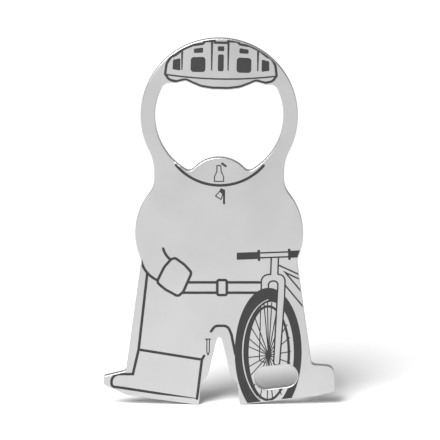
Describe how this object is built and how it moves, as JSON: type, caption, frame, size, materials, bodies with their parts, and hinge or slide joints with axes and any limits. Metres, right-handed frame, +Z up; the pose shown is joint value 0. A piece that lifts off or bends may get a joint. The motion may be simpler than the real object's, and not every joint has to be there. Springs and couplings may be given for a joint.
{
  "type": "souvenir bottle opener",
  "caption": "Flat steel bottle opener shaped as a standing cyclist, with a cap-prising mouth, a nail notch between the legs, a slot in one foot and etched dark line artwork.",
  "frame": {"origin": "bottom centre of the box: under the two heels, on the mid-plane of the sheet and on the figure's centre line", "axes": "+Z up along the figure's height, the etched front faces -Y, +X to the viewer's right of the front"},
  "size_m": [0.0748, 0.0024, 0.12],
  "materials": {
    "steel": "fine bead-blasted satin, not lacquered",
    "ink": "matt dark paint filled into shallow etching"
  },
  "bodies": {
    "root": {"arm_lines_ink": "ink", "belt_lines_ink": "ink", "boot_lines_ink": "ink", "bottle_cap_sign_ink": "ink", "bottle_sign_ink": "ink", "buckle_line_ink": "ink", "collar_line_ink": "ink", "crotch_line_ink": "ink", "fork_lines_ink": "ink", "frame_tubes_ink": "ink", "glove_line_ink": "ink", "handlebar_grips_ink": "ink", "handlebar_tube_ink": "ink", "helmet_outline_ink": "ink", "helmet_ribs_ink": "ink", "helmet_vents_ink": "ink", "hub_ink": "ink", "nail_sign_ink": "ink", "rim_line_ink": "ink", "ring_pull_sign_ink": "ink", "spokes_ink": "ink", "steel_plate": "steel", "stem_lines_ink": "ink", "trouser_seam_ink": "ink", "tyre_ink": "ink"}
  },
  "joints": []
}
